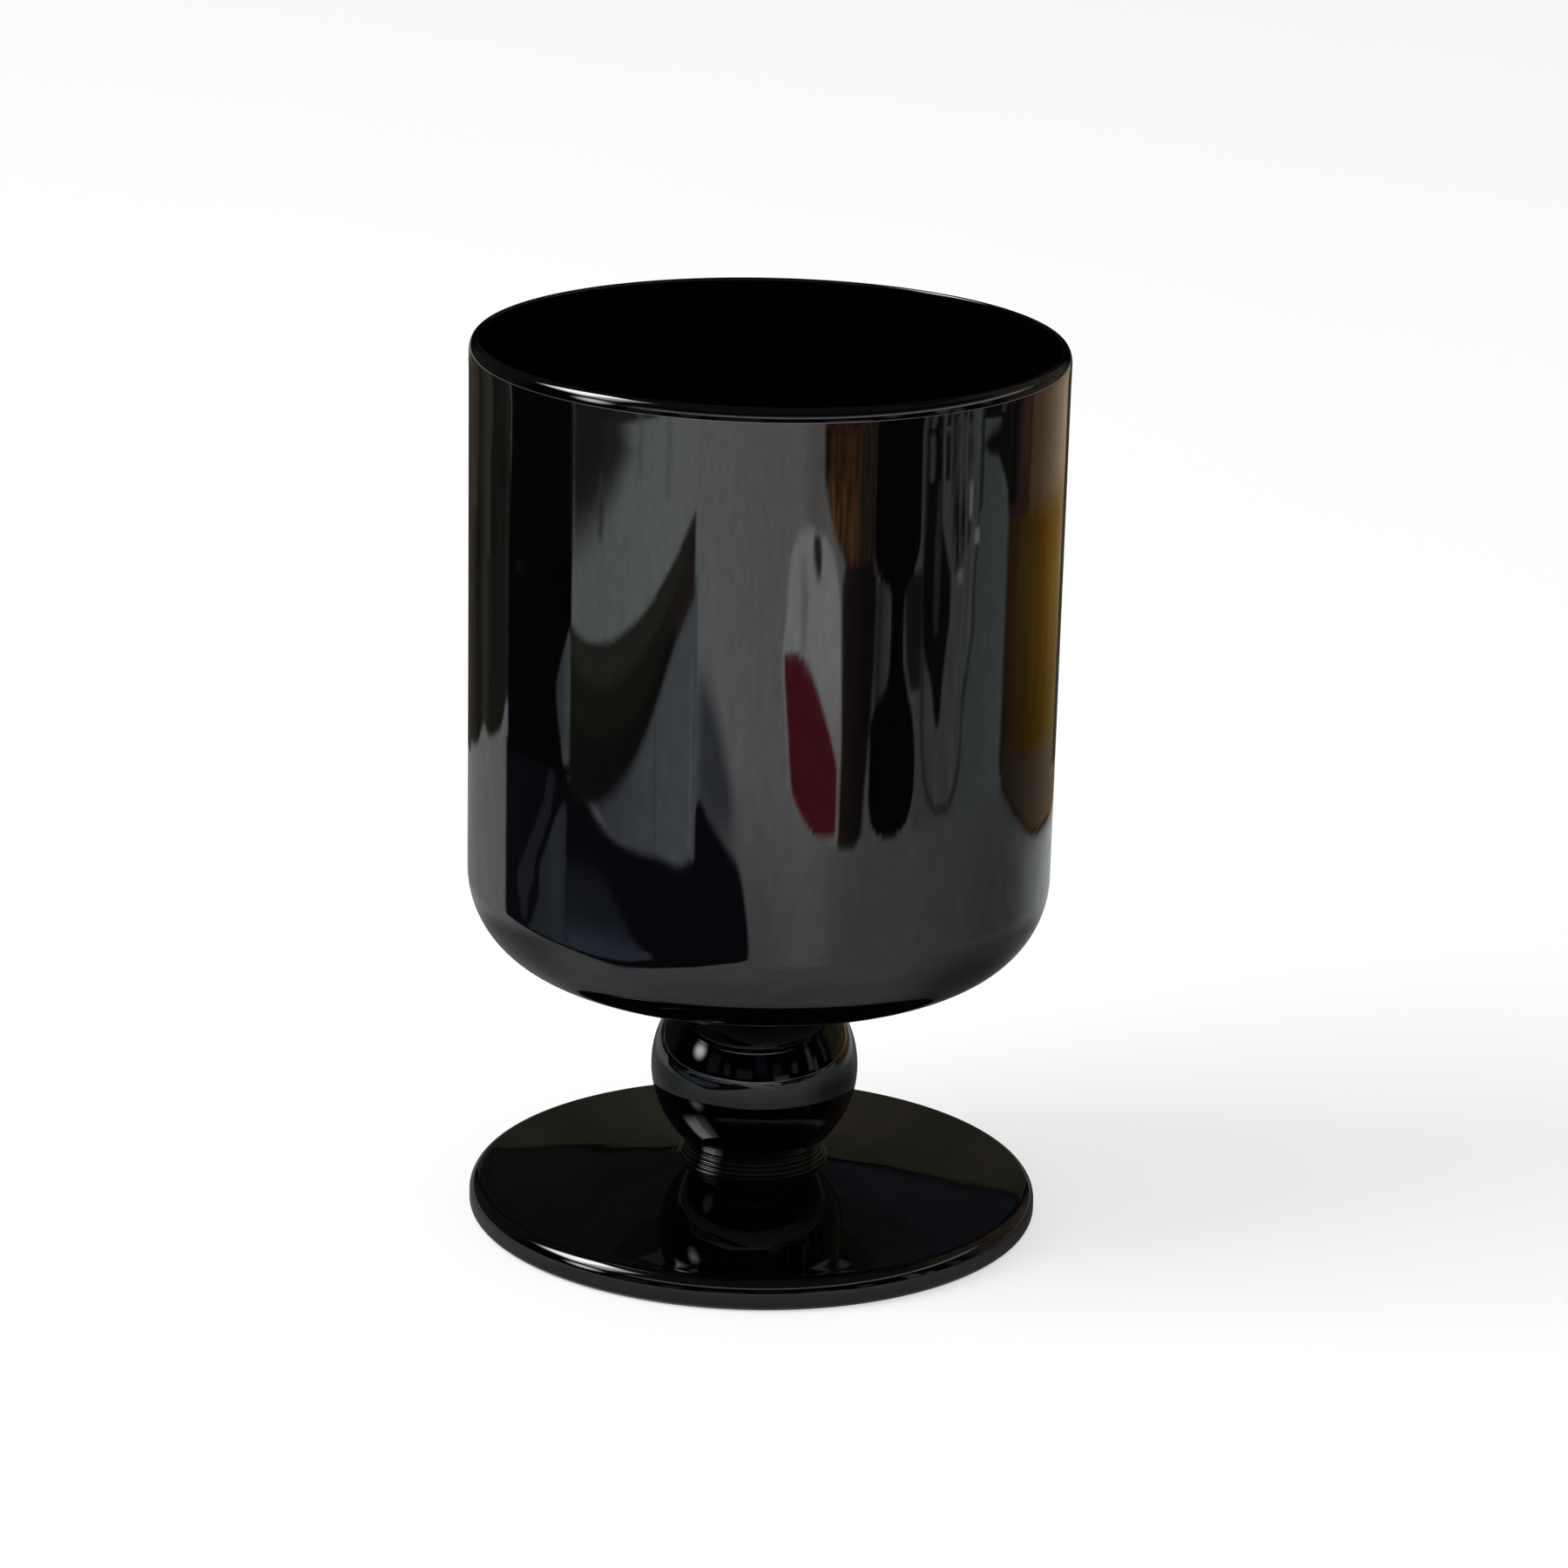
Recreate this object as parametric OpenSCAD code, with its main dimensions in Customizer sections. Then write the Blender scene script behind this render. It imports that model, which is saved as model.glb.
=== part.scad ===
// Stemmed goblet of opaque black glass: a straight-sided bowl on a ball knop and a disc foot.
// Sizes are in millimetres. The origin is the middle of the face it stands on, and +Z is up.
// Five pieces of glass, joined hot, lie on one axis: foot, lower merese, ball knop, upper
// merese and bowl. Each one seats on a flat of the piece below it.

/* [Bowl] */
// Outside diameter at the rim
bowl_d = 80; // [70:0.5:90]
// Outside diameter at the foot of the wall, where it is a hair narrower
bowl_low_d = 79.5; // [70:0.5:90]
// Height of the bowl, from its seat on the upper merese to the rim
bowl_h = 91.4; // [75:0.1:110]
// Glass thickness just below the rim
rim_wall = 1.4; // [1:0.1:2.2]
// Glass thickness at the foot of the straight wall
low_wall = 2.2; // [1.5:0.1:3.5]
// Glass thickness at the middle of the bowl's floor
floor_t = 4; // [3:0.1:6.5]
// Outside radius of the turn from the underside to the wall
turn_r = 12.9; // [8:0.1:18]
// Radius of the crowned underside
crown_r = 88; // [80:1:140]
// Height of the fire-polished rounding outside the lip
lip_h = 1.9; // [1.2:0.1:3]
// Radius of the rounding inside the lip
lip_in_r = 0.3; // [0.2:0.05:0.6]
// Diameter of the seat under the bowl
bowl_seat_d = 21.6; // [18:0.1:26]
// Drop of that seat below the crowned underside
bowl_seat_h = 0.2; // [0.1:0.1:1]
// Radius of the fillet from the seat to the underside
bowl_seat_fillet = 0.6; // [0.3:0.1:0.8]

/* [Upper merese] */
// Height of the merese between the knop and the bowl
top_merese_h = 1.3; // [0.8:0.1:4]
// Bulge of its edge past the straight line between its seats
top_merese_bulge = 0.35; // [0.2:0.05:1.2]

/* [Ball knop] */
// Diameter of the ball
ball_d = 28.5; // [26:0.1:34]
// Height of the ball's middle above its lower seat
ball_low_h = 11.1; // [8:0.1:12.5]
// Height of its upper seat above the ball's middle
ball_top_h = 9.3; // [6:0.1:11]

/* [Lower merese] */
// Height of the merese between the foot and the knop
low_merese_h = 2.3; // [1.5:0.1:4]
// Width of the ledge that it leaves round the ball's seat
ledge_w = 0.3; // [0.2:0.1:2]
// How far its edge flares out on its way down to the foot
flare_w = 1; // [0.5:0.1:3]
// Count of the ridges that the jacks left round its edge
ridge_count = 4; // [2:1:5]
// Depth of those ridges
ridge_depth = 0.3; // [0.1:0.05:0.5]

/* [Foot] */
// Diameter of the foot
foot_d = 78.3; // [70:0.1:90]
// Thickness of the foot at its edge
foot_edge_h = 4.4; // [4:0.1:6]
// Radius of the edge's upper corner
foot_top_r = 2.2; // [1.5:0.1:2.6]
// Radius of the edge's lower corner
foot_low_r = 1.2; // [0.6:0.1:1.3]
// Rise of the foot's top, from the edge to the lower merese
foot_rise = 3; // [1.5:0.1:6]
// Width of the flat ring that the foot stands on
stand_w = 5; // [3:0.5:9]
// Height of the hollow underside above that ring
hollow_h = 1.3; // [0.5:0.1:2]
// Diameter of the ground pontil mark
pontil_d = 18; // [12:0.5:20]
// Depth of the pontil mark below the hollow underside
pontil_depth = 0.8; // [0.3:0.1:1.2]

/* [Hidden] */

glass_colour = "#0b0c0e";
round_sides = 120;
arc_steps = 20;
ridge_steps = 14;
hollow_steps = 6;

// Share of the foot's rise that the slope at its edge would reach: under 1 makes a trumpet
flare_share = 0.9;
// Power of the lower merese's flare: over 1 makes it hollow
merese_flare_power = 1.6;

bowl_r = bowl_d / 2;
bowl_low_r = bowl_low_d / 2;
foot_r = foot_d / 2;
ball_r = ball_d / 2;
pontil_r = pontil_d / 2;
bowl_seat_r = bowl_seat_d / 2;

// Radii of the flats where the ball meets its two mereses
ball_low_seat_r = sqrt(ball_r * ball_r - ball_low_h * ball_low_h);
ball_top_seat_r = sqrt(ball_r * ball_r - ball_top_h * ball_top_h);
ledge_r = ball_low_seat_r + ledge_w;
foot_seat_r = ledge_r + flare_w;

// Heights of the seats, from the table up
foot_seat_z = foot_edge_h + foot_rise;
ball_low_z = foot_seat_z + low_merese_h;
ball_mid_z = ball_low_z + ball_low_h;
ball_top_z = ball_mid_z + ball_top_h;
bowl_z = ball_top_z + top_merese_h;
rim_z = bowl_z + bowl_h;

// Middle of the crowned underside's sphere, and of the ring that makes the turn
crown_mid_z = bowl_z + bowl_seat_h + crown_r;
turn_mid_r = bowl_low_r - turn_r;
turn_mid_z = crown_mid_z - sqrt(pow(crown_r - turn_r, 2) - turn_mid_r * turn_mid_r);

// The floor inside: its sphere touches the inner turn, which shares the outer turn's middle
inner_turn_r = turn_r - low_wall;
floor_z = bowl_z + floor_t;
floor_drop = turn_mid_z - floor_z;
floor_r = (turn_mid_r * turn_mid_r + floor_drop * floor_drop - inner_turn_r * inner_turn_r)
    / (2 * (floor_drop - inner_turn_r));
floor_mid_z = floor_z + floor_r;

// Middle of the fillet round the bowl's seat, which touches the crowned underside
fillet_mid_r = bowl_seat_r + bowl_seat_fillet;
fillet_mid_z = crown_mid_z - sqrt(pow(crown_r + bowl_seat_fillet, 2) - fillet_mid_r * fillet_mid_r);

// Points along an arc, without its first point, from angle a to angle b
function arc(mid_r, mid_z, r, a, b) = [
    for (i = [1:arc_steps])
        let (t = a + (b - a) * i / arc_steps) [mid_r + r * cos(t), mid_z + r * sin(t)]
];

// Quarter of an ellipse for the lip, from the outside of the wall up to the rim
function lip_arc() = [
    for (i = [0:arc_steps])
        let (t = 90 * i / arc_steps, w = rim_wall - lip_in_r)
            [bowl_r - w + w * cos(t), rim_z - lip_h + lip_h * sin(t)]
];

// Underside of the bowl, from its seat out to the straight wall
function bowl_underside() =
    let (
        fillet_a = atan2(crown_mid_z - fillet_mid_z, -fillet_mid_r),
        crown_a = atan2(fillet_mid_z - crown_mid_z, fillet_mid_r),
        turn_a = atan2(turn_mid_z - crown_mid_z, turn_mid_r)
    )
    concat(
        [[bowl_seat_r, bowl_z], [bowl_seat_r, fillet_mid_z]],
        arc(fillet_mid_r, fillet_mid_z, bowl_seat_fillet, 180, fillet_a),
        arc(0, crown_mid_z, crown_r, crown_a, turn_a),
        arc(turn_mid_r, turn_mid_z, turn_r, turn_a, 0)
    );

// Inside of the bowl, from the lip down to the middle of the floor
function bowl_inside() =
    let (turn_a = atan2(turn_mid_z - floor_mid_z, turn_mid_r))
    concat(
        arc(bowl_r - rim_wall + lip_in_r, rim_z - lip_in_r, lip_in_r, 90, 180),
        [[bowl_low_r - low_wall, turn_mid_z]],
        arc(turn_mid_r, turn_mid_z, inner_turn_r, 0, turn_a),
        arc(0, floor_mid_z, floor_r, turn_a, -90)
    );

// Edge of the lower merese: a hollow flare with the ridges standing out from it
function ridged_edge() = [
    for (i = [0:ridge_count * ridge_steps])
        let (
            t = i / (ridge_count * ridge_steps),
            flare = ledge_r + flare_w * pow(1 - t, merese_flare_power),
            ridge = ridge_depth * (1 - cos(360 * i / ridge_steps)) / 2
        )
        [flare + ridge, foot_seat_z + low_merese_h * t]
];

// Edge of the upper merese: one soft bulge between its two seats
function bulged_edge() = [
    for (i = [0:arc_steps])
        let (t = i / arc_steps, line = ball_top_seat_r + (bowl_seat_r - ball_top_seat_r) * t)
            [line + top_merese_bulge * sin(180 * t), ball_top_z + top_merese_h * t]
];

// Top of the foot: a shallow trumpet from its edge up to the lower merese
function foot_top() =
    let (
        edge_slope = atan(flare_share * foot_rise / (foot_r - foot_top_r - foot_seat_r)),
        from_r = foot_r - foot_top_r + foot_top_r * sin(edge_slope),
        from_z = foot_edge_h - foot_top_r + foot_top_r * cos(edge_slope)
    )
    concat(
        arc(foot_r - foot_top_r, foot_edge_h - foot_top_r, foot_top_r, 0, 90 - edge_slope),
        [
            for (i = [1:arc_steps])
                let (t = i / arc_steps, lift = flare_share * t + (1 - flare_share) * t * t)
                    [from_r + (foot_seat_r - from_r) * t, from_z + (foot_seat_z - from_z) * lift]
        ]
    );

// Underside of the foot: a hollow cone inside the ring that it stands on
function foot_underside() =
    let (ring_in_r = foot_r - foot_low_r - stand_w)
    [
        for (i = [0:hollow_steps])
            let (t = i / hollow_steps) [pontil_r + (ring_in_r - pontil_r) * t, hollow_h * (1 - t * t)]
    ];

module bowl() {
    color(glass_colour)
        rotate_extrude($fn = round_sides)
            polygon(concat([[0, bowl_z]], bowl_underside(), lip_arc(), bowl_inside()));
}

module upper_merese() {
    color(glass_colour)
        rotate_extrude($fn = round_sides)
            polygon(concat([[0, ball_top_z]], bulged_edge(), [[0, bowl_z]]));
}

// The ball is cut flat where the mereses close on it
module ball_knop() {
    color(glass_colour)
        intersection() {
            translate([0, 0, ball_mid_z])
                sphere(d = ball_d, $fn = round_sides);
            translate([0, 0, ball_low_z])
                cylinder(h = ball_low_h + ball_top_h, d = 2 * ball_d, $fn = round_sides);
        }
}

module lower_merese() {
    color(glass_colour)
        rotate_extrude($fn = round_sides)
            polygon(concat([[0, foot_seat_z]], ridged_edge(), [[0, ball_low_z]]));
}

module foot() {
    // Sphere of the grinding wheel that left the pontil mark
    wheel_r = (pontil_r * pontil_r + pontil_depth * pontil_depth) / (2 * pontil_depth);
    color(glass_colour)
        difference() {
            rotate_extrude($fn = round_sides)
                polygon(concat(
                    [[0, hollow_h]],
                    foot_underside(),
                    [[foot_r - foot_low_r, 0]],
                    arc(foot_r - foot_low_r, foot_low_r, foot_low_r, -90, 0),
                    [[foot_r, foot_edge_h - foot_top_r]],
                    foot_top(),
                    [[0, foot_seat_z]]
                ));
            translate([0, 0, hollow_h + pontil_depth - wheel_r])
                sphere(r = wheel_r, $fn = round_sides);
        }
}

bowl();
upper_merese();
ball_knop();
lower_merese();
foot();
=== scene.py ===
"""Looks of a stemmed goblet of opaque black glass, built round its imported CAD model. Sizes here are
in millimetres and are turned into metres when the meshes are made."""

import math

import bmesh
import bpy
from mathutils import Matrix, Vector, noise


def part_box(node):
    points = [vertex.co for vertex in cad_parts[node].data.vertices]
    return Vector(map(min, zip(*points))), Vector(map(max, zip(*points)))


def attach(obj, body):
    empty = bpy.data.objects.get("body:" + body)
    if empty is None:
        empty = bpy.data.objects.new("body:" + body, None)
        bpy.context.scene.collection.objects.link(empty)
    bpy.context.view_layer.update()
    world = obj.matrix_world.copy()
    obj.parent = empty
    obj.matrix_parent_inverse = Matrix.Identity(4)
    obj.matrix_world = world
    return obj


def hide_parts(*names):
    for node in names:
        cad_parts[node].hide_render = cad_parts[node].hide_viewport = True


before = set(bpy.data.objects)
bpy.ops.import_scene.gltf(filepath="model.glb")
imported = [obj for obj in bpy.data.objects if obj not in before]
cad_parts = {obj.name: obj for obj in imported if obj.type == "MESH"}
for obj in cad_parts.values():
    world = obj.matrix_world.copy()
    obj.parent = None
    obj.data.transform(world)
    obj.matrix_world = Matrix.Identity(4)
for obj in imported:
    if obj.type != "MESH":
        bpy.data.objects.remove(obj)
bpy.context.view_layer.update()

MM = 0.001

# Bowl
BOWL_R = 40.0
BOWL_LOW_R = 39.75
RIM_WALL = 1.4
LOW_WALL = 2.2
FLOOR_T = 4.0
TURN_R = 12.9
CROWN_R = 88.0
LIP_H = 1.9
LIP_IN_R = 0.3
BOWL_SEAT_R = 10.8
BOWL_SEAT_H = 0.2
BOWL_SEAT_FILLET = 0.6

# Stem
TOP_MERESE_BULGE = 0.35
BALL_R = 14.25
BALL_LOW_H = 11.1
BALL_TOP_H = 9.3
LEDGE_W = 0.3
FLARE_W = 1.0
MERESE_FLARE_POWER = 1.6
RIDGE_COUNT = 4
RIDGE_DEPTH = 0.3

# Foot
FOOT_R = 39.15
FOOT_EDGE_H = 4.4
FOOT_TOP_R = 2.2
FOOT_LOW_R = 1.2
FLARE_SHARE = 0.9
STAND_W = 5.0
HOLLOW_H = 1.3
PONTIL_R = 9.0
PONTIL_DEPTH = 0.8

# Longest step along a profile, and the number of points round a piece
WIDE_STEP = 1.6
STEM_STEP = 2.0
WIDE_TURNS = 384
STEM_TURNS = 256
HIDDEN_TURNS = 192
RIDGE_STEPS = 18
LIP_STEPS = 24
ON_AXIS = 1e-6

# Unevenness of the drawn glass: its depths, and where it sets in and ends
WALL_SLOW = 0.035
WALL_QUICK = 0.008
WALL_FROM_Z = (36, 46)
WALL_FROM_R = (25, 34)
WALL_END_BELOW_RIM = (5, 2.2)
BALL_SLOW = 0.03
BALL_FADE_H = 3
FOOT_SLOW = 0.05
FOOT_QUICK = 0.012
FOOT_FROM_Z = (4.0, 4.5)
FOOT_FROM_SEAT = (1, 6)
FOOT_END_FROM_EDGE = (3.5, 1.0)
WAVE_GAIN = 1.6
WAVE_SHIFT = 3.7

# Glass: refraction, tints, roughness and bump, with the scales of their noises per metre
WIDE_INDEX = 1.7
STEM_INDEX = 1.6
DARK_TINT = (0.0002, 0.0002, 0.0003)
PALE_TINT = (0.0006, 0.0005, 0.0006)
TINT_SCALE = 45
CLEAN_ROUGH = 0.012
SMUDGE_ROUGH = 0.035
SMUDGE_SCALE = 70
HAZE_ROUGH = 0.012
HAZE_SCALE = 600
BOWL_CORDS = 0.35
CORD_SCALE = 420
CORD_STRETCH = (1, 1, 0.03)
BOWL_PEEL = 0.02
SOLID_PEEL = 0.05
PEEL_SCALE = 900
BUMP_DEPTH = 0.00001

# Heights of the seats come from the CAD nodes themselves
BOWL_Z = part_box("bowl")[0].z / MM
RIM_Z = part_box("bowl")[1].z / MM
BALL_LOW_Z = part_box("ball_knop")[0].z / MM
BALL_TOP_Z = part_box("ball_knop")[1].z / MM
FOOT_SEAT_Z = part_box("foot")[1].z / MM
BALL_MID_Z = BALL_LOW_Z + BALL_LOW_H

BALL_LOW_SEAT_R = math.sqrt(BALL_R**2 - BALL_LOW_H**2)
BALL_TOP_SEAT_R = math.sqrt(BALL_R**2 - BALL_TOP_H**2)
LEDGE_R = BALL_LOW_SEAT_R + LEDGE_W
FOOT_SEAT_R = LEDGE_R + FLARE_W


def arc(mid_r, mid_z, radius, a, b, count):
    """Points along an arc, from angle a to angle b in degrees, without its first point."""
    made = []
    for i in range(1, count + 1):
        t = math.radians(a + (b - a) * i / count)
        made.append((mid_r + radius * math.cos(t), mid_z + radius * math.sin(t)))
    return made


def angle(z, r):
    """Angle in degrees of a direction in the profile's plane."""
    return math.degrees(math.atan2(z, r))


def finer(points, step):
    """The same line with points added, so that none are further apart than step."""
    made = [points[0]]
    for a, b in zip(points, points[1:]):
        count = max(1, math.ceil(math.dist(a, b) / step))
        for i in range(1, count + 1):
            made.append((a[0] + (b[0] - a[0]) * i / count, a[1] + (b[1] - a[1]) * i / count))
    return made


def bowl_line():
    """Profile of the bowl: underside and wall outside, then the lip, then wall and floor inside."""
    crown_z = BOWL_Z + BOWL_SEAT_H + CROWN_R
    turn_r = BOWL_LOW_R - TURN_R
    turn_z = crown_z - math.sqrt((CROWN_R - TURN_R) ** 2 - turn_r**2)
    in_turn = TURN_R - LOW_WALL
    floor_z = BOWL_Z + FLOOR_T
    drop = turn_z - floor_z
    floor_r = (turn_r**2 + drop**2 - in_turn**2) / (2 * (drop - in_turn))
    floor_mid = floor_z + floor_r
    fillet_r = BOWL_SEAT_R + BOWL_SEAT_FILLET
    fillet_z = crown_z - math.sqrt((CROWN_R + BOWL_SEAT_FILLET) ** 2 - fillet_r**2)
    turn_a = angle(turn_z - crown_z, turn_r)
    in_a = angle(turn_z - floor_mid, turn_r)
    lip_w = RIM_WALL - LIP_IN_R
    outside = [(0.0, BOWL_Z), (BOWL_SEAT_R, BOWL_Z), (BOWL_SEAT_R, fillet_z)]
    outside += arc(fillet_r, fillet_z, BOWL_SEAT_FILLET, 180, angle(crown_z - fillet_z, -fillet_r), 10)
    outside += arc(0, crown_z, CROWN_R, angle(fillet_z - crown_z, fillet_r), turn_a, 14)
    outside += arc(turn_r, turn_z, TURN_R, turn_a, 0, 40)
    lip = []
    for i in range(0, LIP_STEPS + 1):
        t = math.radians(90 * i / LIP_STEPS)
        lip.append((BOWL_R - lip_w + lip_w * math.cos(t), RIM_Z - LIP_H + LIP_H * math.sin(t)))
    lip += arc(BOWL_R - RIM_WALL + LIP_IN_R, RIM_Z - LIP_IN_R, LIP_IN_R, 90, 180, 10)
    inside = [(BOWL_LOW_R - LOW_WALL, turn_z)]
    inside += arc(turn_r, turn_z, in_turn, 0, in_a, 28)
    inside += arc(0, floor_mid, floor_r, in_a, -90, 20)
    inside[-1] = (0.0, floor_z)
    return finer(outside + lip + inside, WIDE_STEP)


def upper_merese_line():
    line = [(0.0, BALL_TOP_Z)]
    for i in range(0, 33):
        t = i / 32
        r = BALL_TOP_SEAT_R + (BOWL_SEAT_R - BALL_TOP_SEAT_R) * t
        line.append((r + TOP_MERESE_BULGE * math.sin(math.pi * t), BALL_TOP_Z + (BOWL_Z - BALL_TOP_Z) * t))
    line.append((0.0, BOWL_Z))
    return finer(line, STEM_STEP)


def ball_line():
    low = angle(-BALL_LOW_H, BALL_LOW_SEAT_R)
    top = angle(BALL_TOP_H, BALL_TOP_SEAT_R)
    line = [(0.0, BALL_LOW_Z), (BALL_LOW_SEAT_R, BALL_LOW_Z)]
    line += arc(0, BALL_MID_Z, BALL_R, low, top, 64)
    line.append((0.0, BALL_TOP_Z))
    return finer(line, STEM_STEP)


def lower_merese_line():
    line = [(0.0, FOOT_SEAT_Z)]
    count = RIDGE_COUNT * RIDGE_STEPS
    for i in range(0, count + 1):
        t = i / count
        flare = LEDGE_R + FLARE_W * (1 - t) ** MERESE_FLARE_POWER
        ridge = RIDGE_DEPTH * (1 - math.cos(2 * math.pi * i / RIDGE_STEPS)) / 2
        line.append((flare + ridge, FOOT_SEAT_Z + (BALL_LOW_Z - FOOT_SEAT_Z) * t))
    line.append((0.0, BALL_LOW_Z))
    return finer(line, STEM_STEP)


def foot_line():
    """Profile of the foot: pontil mark, hollow and standing ring below, then edge and flared top."""
    rise = FOOT_SEAT_Z - FOOT_EDGE_H
    slope = angle(FLARE_SHARE * rise, FOOT_R - FOOT_TOP_R - FOOT_SEAT_R)
    from_r = FOOT_R - FOOT_TOP_R + FOOT_TOP_R * math.sin(math.radians(slope))
    from_z = FOOT_EDGE_H - FOOT_TOP_R + FOOT_TOP_R * math.cos(math.radians(slope))
    wheel_r = (PONTIL_R**2 + PONTIL_DEPTH**2) / (2 * PONTIL_DEPTH)
    wheel_z = HOLLOW_H + PONTIL_DEPTH - wheel_r
    edge_a = angle(HOLLOW_H - wheel_z, PONTIL_R)
    line = [(0.0, HOLLOW_H + PONTIL_DEPTH)]
    line += arc(0, wheel_z, wheel_r, 90, edge_a, 12)
    ring_in = FOOT_R - FOOT_LOW_R - STAND_W
    for i in range(1, 25):
        t = i / 24
        line.append((PONTIL_R + (ring_in - PONTIL_R) * t, HOLLOW_H * (1 - t * t)))
    line.append((FOOT_R - FOOT_LOW_R, 0.0))
    line += arc(FOOT_R - FOOT_LOW_R, FOOT_LOW_R, FOOT_LOW_R, -90, 0, 16)
    line.append((FOOT_R, FOOT_EDGE_H - FOOT_TOP_R))
    line += arc(FOOT_R - FOOT_TOP_R, FOOT_EDGE_H - FOOT_TOP_R, FOOT_TOP_R, 0, 90 - slope, 20)
    for i in range(1, 41):
        t = i / 40
        lift = FLARE_SHARE * t + (1 - FLARE_SHARE) * t * t
        line.append((from_r + (FOOT_SEAT_R - from_r) * t, from_z + (FOOT_SEAT_Z - from_z) * lift))
    line.append((0.0, FOOT_SEAT_Z))
    return finer(line, WIDE_STEP)


def smoothstep(a, b, x):
    """0 up to a, 1 from b on, and a smooth curve between them."""
    t = min(1.0, max(0.0, (x - a) / (b - a)))
    return t * t * (3 - 2 * t)


def no_wave(r, z, turn):
    """For the pieces that stay true to their profile."""
    return 0.0


def wave(r, z, turn, across, along, seed):
    """Noise of about -1 to 1 that closes on itself round the axis. Its waves are across and along long."""
    x = r * math.cos(turn) / across
    y = r * math.sin(turn) / across + seed
    p = Vector((x, y, z / along + WAVE_SHIFT * seed))
    return noise.noise(p, noise_basis="PERLIN_ORIGINAL") * WAVE_GAIN


def bowl_wave(r, z, turn):
    """How far the drawn wall lies inside its true form, in millimetres."""
    end_low, end_high = WALL_END_BELOW_RIM
    wall = smoothstep(*WALL_FROM_Z, z) * (1 - smoothstep(RIM_Z - end_low, RIM_Z - end_high, z))
    wall *= smoothstep(*WALL_FROM_R, r)
    slow = wave(r, z, turn, 17, 60, 1.3)
    quick = wave(r, z, turn, 7, 42, 5.1)
    return wall * (WALL_SLOW * (1 + slow) + WALL_QUICK * (1 + quick))


def ball_wave(r, z, turn):
    away = smoothstep(BALL_LOW_Z, BALL_LOW_Z + BALL_FADE_H, z)
    away *= 1 - smoothstep(BALL_TOP_Z - BALL_FADE_H, BALL_TOP_Z, z)
    return away * BALL_SLOW * (1 + wave(r, z, turn, 9, 9, 2.2))


def foot_wave(r, z, turn):
    seat_in, seat_out = FOOT_FROM_SEAT
    edge_in, edge_out = FOOT_END_FROM_EDGE
    top = smoothstep(*FOOT_FROM_Z, z) * smoothstep(FOOT_SEAT_R + seat_in, FOOT_SEAT_R + seat_out, r)
    top *= 1 - smoothstep(FOOT_R - edge_in, FOOT_R - edge_out, r)
    slow = wave(r, 0, turn, 14, 14, 3.4)
    quick = wave(r, 0, turn, 5, 5, 8.8)
    return top * (FOOT_SLOW * (1 + slow) + FOOT_QUICK * (1 + quick))


def lathe(name, line, inward, turns):
    """A closed solid of revolution from a line that starts and ends on the axis."""
    body = bmesh.new()
    rings = []
    count = len(line)
    for i, (r, z) in enumerate(line):
        if r < ON_AXIS:
            rings.append([body.verts.new((0, 0, z * MM))])
            continue
        before = line[i - 1]
        after = line[(i + 1) % count]
        run = Vector((after[0] - before[0], after[1] - before[1])).normalized()
        out = Vector((run.y, -run.x))
        ring = []
        for k in range(turns):
            turn = 2 * math.pi * k / turns
            depth = inward(r, z, turn)
            rr = r - out.x * depth
            zz = z - out.y * depth
            ring.append(body.verts.new((rr * math.cos(turn) * MM, rr * math.sin(turn) * MM, zz * MM)))
        rings.append(ring)
    for low, high in zip(rings, rings[1:]):
        for k in range(turns):
            n = (k + 1) % turns
            if len(low) == 1:
                corners = [low[0], high[n], high[k]]
            elif len(high) == 1:
                corners = [low[k], low[n], high[0]]
            else:
                corners = [low[k], low[n], high[n], high[k]]
            body.faces.new(corners)
    bmesh.ops.recalc_face_normals(body, faces=body.faces)
    mesh = bpy.data.meshes.new(name)
    body.to_mesh(mesh)
    body.free()
    mesh.polygons.foreach_set("use_smooth", [True] * len(mesh.polygons))
    made = bpy.data.objects.new(name, mesh)
    bpy.context.scene.collection.objects.link(made)
    return made


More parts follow.
